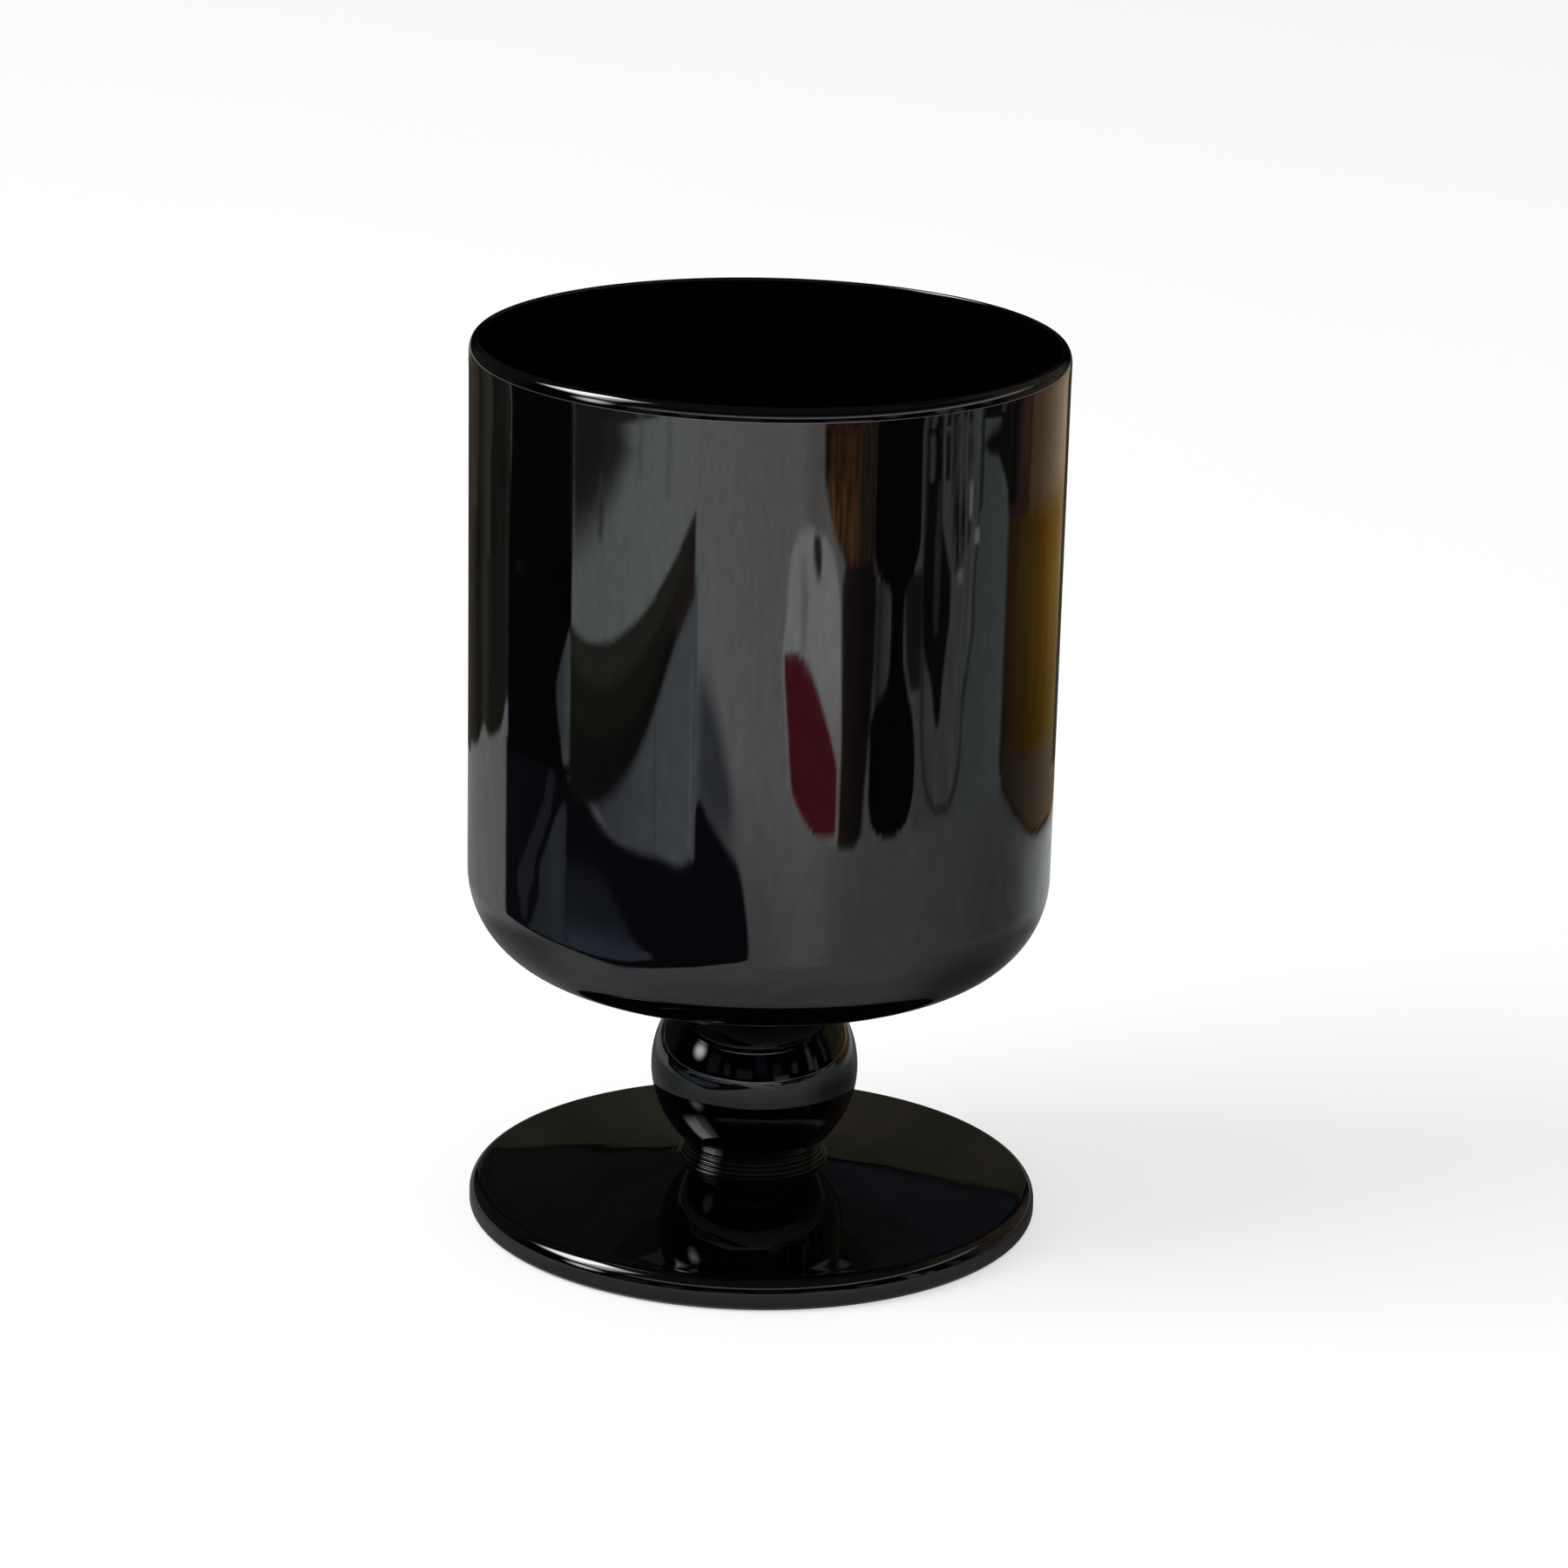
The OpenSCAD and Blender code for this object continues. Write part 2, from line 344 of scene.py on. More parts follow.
class Nodes:
    """Short names for the nodes of one material."""

    def __init__(self, name):
        self.material = bpy.data.materials.new(name)
        self.material.use_nodes = True
        self.tree = self.material.node_tree
        self.tree.nodes.clear()

    def add(self, kind, **values):
        node = self.tree.nodes.new(kind)
        for key, value in values.items():
            setattr(node, key, value)
        return node

    def link(self, a, b):
        self.tree.links.new(a, b)

    def noise(self, place, scale, detail=2.0, roughness=0.5):
        node = self.add("ShaderNodeTexNoise")
        node.inputs["Scale"].default_value = scale
        node.inputs["Detail"].default_value = detail
        node.inputs["Roughness"].default_value = roughness
        self.link(place, node.inputs["Vector"])
        return node.outputs["Fac"]

    def stretch(self, place, scale):
        node = self.add("ShaderNodeMapping")
        node.inputs["Scale"].default_value = scale
        self.link(place, node.inputs["Vector"])
        return node.outputs["Vector"]

    def span(self, value, low, high, to_low, to_high):
        node = self.add("ShaderNodeMapRange")
        node.inputs["From Min"].default_value = low
        node.inputs["From Max"].default_value = high
        node.inputs["To Min"].default_value = to_low
        node.inputs["To Max"].default_value = to_high
        self.link(value, node.inputs["Value"])
        return node.outputs["Result"]

    def math(self, operation, a, b):
        node = self.add("ShaderNodeMath", operation=operation)
        for socket, value in zip(node.inputs, (a, b)):
            if isinstance(value, (int, float)):
                socket.default_value = value
            else:
                self.link(value, socket)
        return node.outputs["Value"]

    def ramp(self, value, stops):
        node = self.add("ShaderNodeValToRGB")
        band = node.color_ramp
        band.elements[0].position, band.elements[0].color = stops[0][0], (*stops[0][1], 1)
        band.elements[1].position, band.elements[1].color = stops[-1][0], (*stops[-1][1], 1)
        for position, colour in stops[1:-1]:
            band.elements.new(position).color = (*colour, 1)
        self.link(value, node.inputs["Fac"])
        return node.outputs["Color"]


def black_glass(name, index, cords, peel):
    """Opaque black glass: cords are the faint drawn lines along the axis, peel the fine pitting."""
    n = Nodes(name)
    place = n.add("ShaderNodeTexCoord").outputs["Object"]
    shader = n.add("ShaderNodeBsdfPrincipled")
    shader.inputs["IOR"].default_value = index
    cloud = n.noise(place, TINT_SCALE, 3)
    tint = n.ramp(cloud, [(0.3, DARK_TINT), (0.7, PALE_TINT)])
    n.link(tint, shader.inputs["Base Color"])
    smudge = n.span(n.noise(place, SMUDGE_SCALE, 4, 0.6), 0.45, 0.75, 0.0, 1.0)
    haze = n.span(n.noise(place, HAZE_SCALE, 2), 0.35, 0.7, 0.0, HAZE_ROUGH)
    smudged = n.math("MULTIPLY", smudge, SMUDGE_ROUGH)
    rough = n.math("ADD", smudged, n.math("ADD", haze, CLEAN_ROUGH))
    n.link(rough, shader.inputs["Roughness"])
    drawn = n.noise(n.stretch(place, CORD_STRETCH), CORD_SCALE, 3)
    pitted = n.noise(place, PEEL_SCALE, 2)
    height = n.math("ADD", n.math("MULTIPLY", drawn, cords), n.math("MULTIPLY", pitted, peel))
    bump = n.add("ShaderNodeBump")
    bump.inputs["Strength"].default_value = 1.0
    bump.inputs["Distance"].default_value = BUMP_DEPTH
    n.link(height, bump.inputs["Height"])
    n.link(bump.outputs["Normal"], shader.inputs["Normal"])
    out = n.add("ShaderNodeOutputMaterial")
    n.link(shader.outputs["BSDF"], out.inputs["Surface"])
    return n.material


def dress(made, node, material):
    """Give a piece its glass, hang it under the root body, and hide the CAD node that it takes the place
    of.
    """
    made.data.materials.append(material)
    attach(made, "root")
    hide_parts(node)


bowl_glass = black_glass("bowl_glass", WIDE_INDEX, BOWL_CORDS, BOWL_PEEL)
stem_glass = black_glass("stem_glass", STEM_INDEX, 0.0, SOLID_PEEL)
foot_glass = black_glass("foot_glass", WIDE_INDEX, 0.0, SOLID_PEEL)

blown_bowl = lathe("blown_bowl", bowl_line(), bowl_wave, WIDE_TURNS)
dress(blown_bowl, "bowl", bowl_glass)
top_collar = lathe("top_collar", upper_merese_line(), no_wave, HIDDEN_TURNS)
dress(top_collar, "upper_merese", stem_glass)
stem_ball = lathe("stem_ball", ball_line(), ball_wave, STEM_TURNS)
dress(stem_ball, "ball_knop", stem_glass)
ridged_collar = lathe("ridged_collar", lower_merese_line(), no_wave, STEM_TURNS)
dress(ridged_collar, "lower_merese", stem_glass)
round_foot = lathe("round_foot", foot_line(), foot_wave, WIDE_TURNS)
dress(round_foot, "foot", foot_glass)

# Camera at the photograph's angle
CAMERA_AT = Vector((0, -0.713458, 0.283582))
CAMERA_YAW = 0.0044119
CAMERA_DIP = 0.3021757
CAMERA_ROLL = 0.0241694
LENS = 126.373
SENSOR_W = 36
CLIP_START = 0.02

ahead = Vector((
    math.sin(CAMERA_YAW) * math.cos(CAMERA_DIP),
    math.cos(CAMERA_YAW) * math.cos(CAMERA_DIP),
    -math.sin(CAMERA_DIP),
))
level = Vector((math.cos(CAMERA_YAW), -math.sin(CAMERA_YAW), 0))
upward = level.cross(ahead)
right = level * math.cos(CAMERA_ROLL) + upward * math.sin(CAMERA_ROLL)
up = upward * math.cos(CAMERA_ROLL) - level * math.sin(CAMERA_ROLL)
camera_data = bpy.data.cameras.new("camera")
camera_data.lens = LENS
camera_data.sensor_width = SENSOR_W
camera_data.clip_start = CLIP_START
camera = bpy.data.objects.new("camera", camera_data)
camera.matrix_world = Matrix((
    (right.x, up.x, -ahead.x, CAMERA_AT.x),
    (right.y, up.y, -ahead.y, CAMERA_AT.y),
    (right.z, up.z, -ahead.z, CAMERA_AT.z),
    (0, 0, 0, 1),
))
bpy.context.scene.collection.objects.link(camera)
bpy.context.scene.camera = camera


def stage_mesh(name, points, faces, material):
    mesh = bpy.data.meshes.new(name)
    mesh.from_pydata([Vector(p) * MM for p in points], [], faces)
    mesh.polygons.foreach_set("use_smooth", [True] * len(mesh.polygons))
    mesh.materials.append(material)
    made = bpy.data.objects.new(name, mesh)
    bpy.context.scene.collection.objects.link(made)
    return made


def unseen(made):
    """A studio card shows only in the glass: not to the camera, and it shades nothing."""
    made.visible_camera = False
    made.visible_diffuse = False
    made.visible_shadow = False
    made.visible_transmission = False
    return made


def tone_material(name, streak):
    """A card that glows with its own painted tones, under faint upright streaks."""
    n = Nodes(name)
    place = n.add("ShaderNodeTexCoord").outputs["Object"]
    soft = n.noise(n.stretch(place, (1, 1, 0.1)), 60, 4, 0.6)
    level = n.span(soft, 0.3, 0.7, 1 - streak, 1 + streak)
    tone = n.add("ShaderNodeAttribute", attribute_name="tone")
    glow = n.add("ShaderNodeEmission")
    n.link(tone.outputs["Color"], glow.inputs["Color"])
    n.link(level, glow.inputs["Strength"])
    clear = n.add("ShaderNodeBsdfTransparent")
    mix = n.add("ShaderNodeMixShader")
    n.link(tone.outputs["Alpha"], mix.inputs["Fac"])
    n.link(clear.outputs["BSDF"], mix.inputs[1])
    n.link(glow.outputs["Emission"], mix.inputs[2])
    out = n.add("ShaderNodeOutputMaterial")
    n.link(mix.outputs["Shader"], out.inputs["Surface"])
    return n.material


def smooth_line(stops, x):
    """Values at x on a smooth curve through the stops, held beyond its two ends."""
    if x <= stops[0][0]:
        return list(stops[0][1:])
    if x >= stops[-1][0]:
        return list(stops[-1][1:])
    k = 0
    while stops[k + 1][0] < x:
        k += 1
    before = stops[max(k - 1, 0)]
    low = stops[k]
    high = stops[k + 1]
    after = stops[min(k + 2, len(stops) - 1)]
    gap = high[0] - low[0]
    t = (x - low[0]) / gap
    made = []
    for b, p, q, a in zip(before[1:], low[1:], high[1:], after[1:]):
        p_slope = (q - b) * gap / (high[0] - before[0])
        q_slope = (a - p) * gap / (after[0] - low[0])
        made.append(
            (2 * t**3 - 3 * t**2 + 1) * p
            + (t**3 - 2 * t**2 + t) * p_slope
            + (3 * t**2 - 2 * t**3) * q
            + (t**3 - t**2) * q_slope
        )
    return made


def upright(stops, soft, closed=False):
    """Cover of an upright form. Each stop is a distance with the form's left and right azimuth."""
    first = min(stop[1] for stop in stops) - soft - 2
    last = max(stop[2] for stop in stops) + soft + 2

    def cover(a, d):
        if a < first or a > last or d < stops[0][0] - 2:
            return 0.0
        left, right = smooth_line(stops, d)
        made = smoothstep(left - soft, left + soft, a) * (1 - smoothstep(right - soft, right + soft, a))
        made *= smoothstep(stops[0][0] - 2, stops[0][0] + 2, d)
        if closed:
            made *= 1 - smoothstep(stops[-1][0] - 3, stops[-1][0] + 3, d)
        return made
    return cover


def lying(stops, soft, end_soft=1.0):
    """Cover of a long low form. Each stop is an azimuth with the form's near and far distance."""
    def cover(a, d):
        if a < stops[0][0] - end_soft or a > stops[-1][0] + end_soft:
            return 0.0
        near, far = smooth_line(stops, a)
        made = smoothstep(near - soft, near + soft, d) * (1 - smoothstep(far - soft, far + soft, d))
        made *= smoothstep(stops[0][0] - end_soft, stops[0][0] + end_soft, a)
        return made * (1 - smoothstep(stops[-1][0] - end_soft, stops[-1][0] + end_soft, a))
    return cover


def fade(low_at, high_at, low, high, along=1):
    """A tone that runs from low to high along the distance, or along the azimuth where along is 0."""
    def tone(*place):
        t = smoothstep(low_at, high_at, place[along])
        return [x + (y - x) * t for x, y in zip(low, high)]
    return tone


def streaked(tone, amount, seed, across, along):
    """The same tone with uneven streaks across the azimuth."""
    def made(a, d):
        plain = tone(a, d) if callable(tone) else tone
        rise = noise.noise(Vector((a / across, d / along, seed)))
        rise += 0.6 * noise.noise(Vector((2.3 * a / across, d / along, seed)))
        level = max(0.05, 1 + amount * rise)
        return [v * level for v in plain]
    return made


def everywhere(a, d):
    """Cover of the whole sheet."""
    return 1.0


def layers(*forms):
    """Tone and cover of a place, from forms laid over each other."""
    def paint(a, d):
        colour = [0.0, 0.0, 0.0]
        total = 0.0
        for cover, tone in forms:
            share = cover(a, d)
            if share <= 0:
                continue
            new = tone(a, d) if callable(tone) else tone
            joined = share + total * (1 - share)
            colour = [(x * share + y * total * (1 - share)) / joined for x, y in zip(new, colour)]
            total = joined
        return (*colour, total)
    return paint


def sheet(name, rows, cols, place, paint, streak):
    """A studio card: a grid of rows and columns with a painted tone at each point. The glass shows it as a
    painted reflection.
    """
    points = []
    tones = []
    for row in rows:
        for col in cols:
            points.append(place(col, row))
            tones.append(paint(col, row))
    wide = len(cols)
    faces = []
    for j in range(len(rows) - 1):
        for i in range(wide - 1):
            k = j * wide + i
            faces.append((k, k + 1, k + wide + 1, k + wide))
    made = unseen(stage_mesh(name, points, faces, tone_material(name, streak)))
    layer = made.data.color_attributes.new("tone", "FLOAT_COLOR", "POINT")
    for i, tone in enumerate(tones):
        layer.data[i].color = tone


def steps(first, last, size):
    """Even steps from first to last, of about this size."""
    count = max(1, round((last - first) / size))
    return [first + (last - first) * i / count for i in range(count + 1)]


def polar(azimuth, distance, z):
    """A place at this azimuth, from the camera's side towards +X in degrees, and at this distance."""
    turn = math.radians(azimuth)
    return (distance * math.sin(turn), -distance * math.cos(turn), z)


def sloped(azimuth, distance, rise):
    """The same, with the height given as an angle in degrees above the floor."""
    return polar(azimuth, distance, distance * math.tan(math.radians(rise)))


# Radius of the bowl's wall as a mirror, and the camera's place above the floor
WALL_R = 39.9
EYE = CAMERA_AT.to_2d() / MM
STEEPEST = 89.0
HALVINGS = 24

# Heights of the cards on the floor
BACK_Z = 0.1
TONES_Z = 0.2
FAR_Z = 0.3


def wall_ray(azimuth):
    """The spot on the bowl's wall that mirrors a level ray of this azimuth to the camera, and the ray.
    Azimuths run from the camera's side towards +X, in degrees."""
    low = -STEEPEST
    high = STEEPEST
    for _ in range(HALVINGS):
        turn = math.radians((low + high) / 2)
        normal = Vector((math.sin(turn), -math.cos(turn)))
        wall = normal * WALL_R
        sight = (wall - EYE).normalized()
        ray = sight - 2 * sight.dot(normal) * normal
        if math.degrees(math.atan2(ray.x, -ray.y)) < azimuth:
            low = (low + high) / 2
        else:
            high = (low + high) / 2
    return wall, ray


WALL_RAYS = {a: wall_ray(a) for a in steps(-176, 176, 0.5)}


def ground_place(azimuth, distance):
    """The spot on the ground that the wall mirrors at this azimuth, so far from the goblet's axis."""
    wall, ray = WALL_RAYS[azimuth]
    along = wall.dot(ray)
    spot = wall + ray * (math.sqrt(along**2 + distance**2 - WALL_R**2) - along)
    return (spot.x, spot.y, TONES_Z)


def both(*covers):
    """Cover that forms share."""
    def cover(a, d):
        made = 1.0
        for part in covers:
            made *= part(a, d)
        return made
    return cover


def graded(stops, along=1):
    """A tone on a smooth curve through the stops, along the distance, or the azimuth where along is 0."""
    def tone(*place):
        return smooth_line(stops, place[along])
    return tone


# Plain pale floor. The camera sees part of it as plain white, which keeps the goblet's shadow light
FLOOR = 6000
FLOOR_DARK = (0.88, 0.88, 0.88)
FLOOR_PALE = (0.9, 0.9, 0.9)
FLOOR_WHITE = 0.6
floor_nodes = Nodes("pale_floor")
floor_place = floor_nodes.add("ShaderNodeTexCoord").outputs["Object"]
floor_tint = floor_nodes.ramp(
    floor_nodes.noise(floor_place, 6, 2),
    [(0.2, FLOOR_DARK), (0.8, FLOOR_PALE)],
)
floor_shader = floor_nodes.add("ShaderNodeBsdfDiffuse")
floor_nodes.link(floor_tint, floor_shader.inputs["Color"])
floor_white = floor_nodes.add("ShaderNodeEmission")
floor_white.inputs["Color"].default_value = (1, 1, 1, 1)
floor_path = floor_nodes.add("ShaderNodeLightPath")
floor_mix = floor_nodes.add("ShaderNodeMixShader")
floor_nodes.link(
    floor_nodes.math("MULTIPLY", floor_path.outputs["Is Camera Ray"], FLOOR_WHITE),
    floor_mix.inputs["Fac"],
)
floor_nodes.link(floor_shader.outputs["BSDF"], floor_mix.inputs[1])
floor_nodes.link(floor_white.outputs["Emission"], floor_mix.inputs[2])
floor_out = floor_nodes.add("ShaderNodeOutputMaterial")
floor_nodes.link(floor_mix.outputs["Shader"], floor_out.inputs["Surface"])
stage_mesh(
    "floor",
    [(-FLOOR, -FLOOR, 0), (FLOOR, -FLOOR, 0), (FLOOR, FLOOR, 0), (-FLOOR, FLOOR, 0)],
    [(0, 1, 2, 3)],
    floor_nodes.material,
)

# Painted reflection of the ground, as the glass mirrors it: painted shade of the goblet dims it near the
# goblet and at its back, and it is white further off.
# NEAR_TONES and FAR_TONES go by the mirrored ray's azimuth, and the tones in the goblet's painted shade by
# the spot's own azimuth
NEAR_TONES = [
    (-180, 0.27), (-160, 0.3), (-140, 0.42), (-120, 0.62), (-100, 0.5), (-60, 0.45), (-20, 0.52),
    (0, 0.57), (12, 0.7), (22, 0.73), (30, 0.54), (50, 0.49), (64, 0.47), (75, 0.41), (86, 0.35),
    (98, 0.26), (108, 0.225), (118, 0.23), (125, 0.28), (132, 0.41), (140, 0.5), (155, 0.57),
    (180, 0.4),
]
FAR_TONES = [
    (-180, 0.24), (-150, 0.35), (-120, 0.62), (-90, 0.9), (-60, 1.1), (-20, 1.12), (0, 1.02),
    (20, 1.0), (40, 0.6), (64, 0.5), (86, 0.42), (105, 0.33), (118, 0.3), (135, 0.45), (180, 0.35),
]
SHADE_ZONE_TONES = [
    (-180, 0.45), (-130, 0.5), (-90, 0.52), (0, 0.56), (50, 0.5), (75, 0.42), (100, 0.3),
    (125, 0.35), (150, 0.5), (180, 0.5),
]


def ground_tone(a, d, spot=None):
    """The ground's painted tone, with the goblet's painted shade near it and right behind it, from the
    azimuth of the ray, the distance and the spot's own azimuth.
    """
    if spot is None:
        x, y, _ = ground_place(a, d)
        spot = math.degrees(math.atan2(x, -y))
    # Painted shade of the goblet on the ground near it. left and right say how far the spot lies to a
    # side, where that shade falls differently
    left = smoothstep(60, 95, -spot)
    right = smoothstep(40, 85, spot)
    under = smooth_line(SHADE_ZONE_TONES, spot)[0]
    # share is how much of the tone the painted shade leaves, and it is least right at the foot's edge
    share = 0.62 + 0.36 * smoothstep(40, 105, d)
    share += left * (0.38 + 0.6 * smoothstep(95, 135, d) - share)
    share += right * (0.22 + 0.25 * smoothstep(60, 100, d) + 0.5 * smoothstep(95, 155, d) - share)
    under *= share * (1 - 0.35 * (1 - smoothstep(38, 46, d)))
    # The near tones take over from the goblet's shade, and the far ones from them
    near = smooth_line(NEAR_TONES, a)[0]
    near = under + (near - under) * smoothstep(110, 160, d)
    far = smooth_line(FAR_TONES, a)[0]
    level = near + (far - near) * smoothstep(165, 290, d)
    # Painted shade right behind the goblet, close to it
    level *= 1 - 0.75 * smoothstep(135, 165, abs(spot)) * (1 - smoothstep(110, 150, d))
    return (level * 0.955, level, level * 1.01)


DARK_FORM = (0.023, 0.02, 0.034)
near_forms = [
    (everywhere, ground_tone),
    # Soft shade at the right of a low dark form, and the form itself with its bright patches
    (
        lying([(-25.5, 240, 335), (-22, 240, 330), (-16, 235, 300), (-10, 230, 260)], 22, 4),
        (0.3, 0.33, 0.38),
    ),
    (
        lying(
            [
                (-118.5, 150, 262), (-107, 133, 264), (-98, 121, 268), (-87, 111, 266),
                (-80, 104, 256), (-72, 96, 247), (-65, 90, 236), (-58, 90, 229), (-46, 96, 226),
                (-40, 101, 226), (-27, 116, 227), (-24.5, 119, 258), (-20, 128, 249),
                (-13, 145, 234), (-8, 158, 222), (-5, 170, 200), (-3.5, 175, 185),
            ],
            3,
        ),
        DARK_FORM,
    ),
    (
        lying(
            [
                (-81, 115, 214), (-72, 108, 214), (-66, 106, 212), (-60, 106, 202), (-54, 108, 190),
                (-48, 118, 178), (-42, 130, 168),
            ],
            5,
            2,
        ),
        graded(
            [
                (165, 0.2, 0.235, 0.31), (176, 0.15, 0.18, 0.25), (186, 0.08, 0.1, 0.125),
                (202, 0.07, 0.08, 0.105), (214, 0.03, 0.03, 0.04),
            ],
        ),
    ),
    (
        both(
            lying(
                [
                    (-106, 138, 900), (-98, 131, 900), (-92, 124, 900), (-86, 118, 900),
                    (-80, 113, 900), (-76, 113, 900),
                ],
                3,
            ),
            upright(
                [
                    (100, -105, -80), (150, -103, -80), (176, -98.5, -80.6), (184, -96, -80.6),
                    (200, -95.3, -80.6), (210, -92.6, -80.6), (220, -89.6, -80.6),
                    (230, -86.6, -80.6), (240, -82.5, -80.8),
                ],
                0.6,
                True,
            ),
        ),
        graded(
            [
                (-100, 0.1, 0.12, 0.15), (-94, 0.125, 0.15, 0.18), (-86, 0.175, 0.21, 0.255),
                (-81, 0.14, 0.175, 0.205),
            ],
            0,
        ),
    ),
    (
        upright(
            [
                (168, -106.5, -103), (176, -107, -102.3), (184, -109, -101.5), (192, -109.3, -99),
                (200, -105.8, -98.5), (210, -102, -95.6), (220, -98.6, -92.6), (230, -95.6, -89.7),
                (240, -92.6, -88.4), (250, -91.8, -87), (257, -90.5, -89),
            ],
            0.7,
            True,
        ),
        (0.09, 0.088, 0.112),
    ),
]
left_forms = [
    # Low brown shapes at the left and behind
    (
        lying(
            [
                (-178, 224, 300), (-174, 226, 335), (-170, 228, 372), (-166, 230, 430),
                (-162, 232, 505), (-158, 234, 600), (-150, 238, 900), (-146, 243, 900),
                (-140, 256, 900), (-134, 253, 900), (-128, 257, 900), (-122, 266, 900),
                (-119, 282, 900), (-116, 282, 900),
            ],
            3,
        ),
        streaked(
            graded(
                [
                    (-174, 0.026, 0.021, 0.017), (-166, 0.038, 0.033, 0.027),
                    (-157, 0.052, 0.045, 0.034), (-152, 0.045, 0.037, 0.027),
                    (-148, 0.03, 0.024, 0.017), (-143, 0.045, 0.037, 0.028),
                    (-138, 0.088, 0.075, 0.06), (-135.5, 0.062, 0.058, 0.044),
                    (-132, 0.033, 0.036, 0.025), (-124, 0.042, 0.044, 0.03),
                    (-120.5, 0.05, 0.05, 0.045), (-118.2, 0.085, 0.085, 0.085),
                    (-117.6, 0.05, 0.05, 0.05),
                ],
                0,
            ),
            0.3,
            2.2,
            3.0,
            60,
        ),
    ),
    (
        upright(
            [
                (370, -138, -133.5), (400, -138, -133.5), (450, -137.5, -133), (480, -137, -131),
                (900, -136, -130.5),
            ],
            1.2,
        ),
        (0.1, 0.1, 0.08),
    ),
    (
        upright([(400, -160, -149), (460, -161, -147), (900, -164, -146)], 2.0),
        (0.078, 0.064, 0.042),
    ),
    # Tall dark shape with a pale sliver at its right
    (
        upright(
            [
                (256, -117.3, -78.8), (340, -117.2, -78.8), (415, -116.8, -78),
                (480, -115.6, -77.2), (900, -115, -77),
            ],
            0.45,
        ),
        fade(250, 480, (0.007, 0.007, 0.01), (0.009, 0.008, 0.014)),
    ),
    (
        upright(
            [
                (262, -83, -79.4), (275, -84.2, -79.4), (290, -86, -79.3), (308, -86.9, -79.2),
                (323, -84.8, -79.3), (347, -80.4, -79.8),
            ],
            0.5,
            True,
        ),
        fade(-87, -79, (0.22, 0.26, 0.3), (0.48, 0.53, 0.56), 0),
    ),
    (lying([(-112, 376, 380), (-107, 376, 380)], 1.5), (0.05, 0.05, 0.05)),
    # Pale shape, darker towards its top left
    (
        lying([(-79.2, 330, 900), (-26.4, 330, 900)], 4, 0.4),
        fade(-76, -30, (0.9, 0.97, 1.0), (1.12, 1.2, 1.18), 0),
    ),
    (
        lying(
            [
                (-79, 405, 900), (-72, 420, 900), (-66, 436, 900), (-60, 456, 900), (-54, 488, 900),
                (-48, 520, 900), (-42, 545, 900),
            ],
            34,
            2.5,
        ),
        (0.14, 0.145, 0.135),
    ),
    (
        lying([(-79, 440, 900), (-72, 458, 900), (-66, 482, 900), (-60, 520, 900)], 24, 2.0),
        (0.085, 0.088, 0.085),
    ),
    (
        upright([(415, -66.5, -65), (450, -67, -64.5), (470, -66.5, -65)], 1.2, True),
        (0.3, 0.3, 0.3),
    ),
    (upright([(470, -49.5, -48.5), (900, -51, -48)], 1.6), (0.6, 0.64, 0.62)),
    (upright([(450, -38, -37), (900, -40, -36)], 1.4), (0.8, 0.84, 0.82)),
    # Pale block with a low olive crescent across it
    (
        lying(
            [
                (-79.2, 272, 285), (-70, 252, 272), (-61, 233, 285), (-53.6, 228, 300),
                (-46, 226, 320), (-25.2, 226, 400),
            ],
            2,
            0.4,
        ),
        fade(-66, -30, (0.36, 0.4, 0.45), (0.6, 0.66, 0.72), 0),
    ),
    (upright([(232, -41, -40), (300, -41.5, -40.5)], 0.6, True), (0.42, 0.46, 0.5)),
    (upright([(232, -27.6, -26.6), (340, -27.6, -26.8)], 0.5, True), (0.8, 0.84, 0.86)),
    (
        lying(
            [
                (-79.2, 250, 351), (-75, 247, 344), (-69, 244, 342), (-65, 247, 343),
                (-59, 257, 347), (-53.6, 268, 355), (-49, 279, 362), (-43.7, 299, 375),
                (-38.3, 325, 393), (-33, 352, 412), (-30, 365, 427), (-26.4, 381, 445),
            ],
            3,
            0.4,
        ),
        fade(-45, -30, (0.078, 0.078, 0.056), (0.13, 0.105, 0.095), 0),
    ),
    (
        lying(
            [
                (-78, 322, 347), (-69, 316, 340), (-59, 318, 344), (-49, 335, 358), (-38, 368, 388),
                (-30, 404, 420),
            ],
            7,
            3,
        ),
        (0.17, 0.175, 0.135),
    ),
    (
        lying(
            [(-79, 246, 285), (-65, 246, 282), (-55, 260, 290), (-45, 290, 312), (-34, 345, 362)],
            9,
            3,
        ),
        (0.046, 0.046, 0.044),
    ),
]
# Tones of the amber form, by azimuth
AMBER = [
    (106, 0.11, 0.07, 0.034), (118, 0.2, 0.115, 0.03), (132, 0.28, 0.14, 0.02),
    (148, 0.38, 0.22, 0.045), (165, 0.45, 0.32, 0.15),
]


def amber_tone(a, d):
    level = 0.62 + 0.38 * smoothstep(250, 370, d)
    return [v * level for v in smooth_line(AMBER, a)]


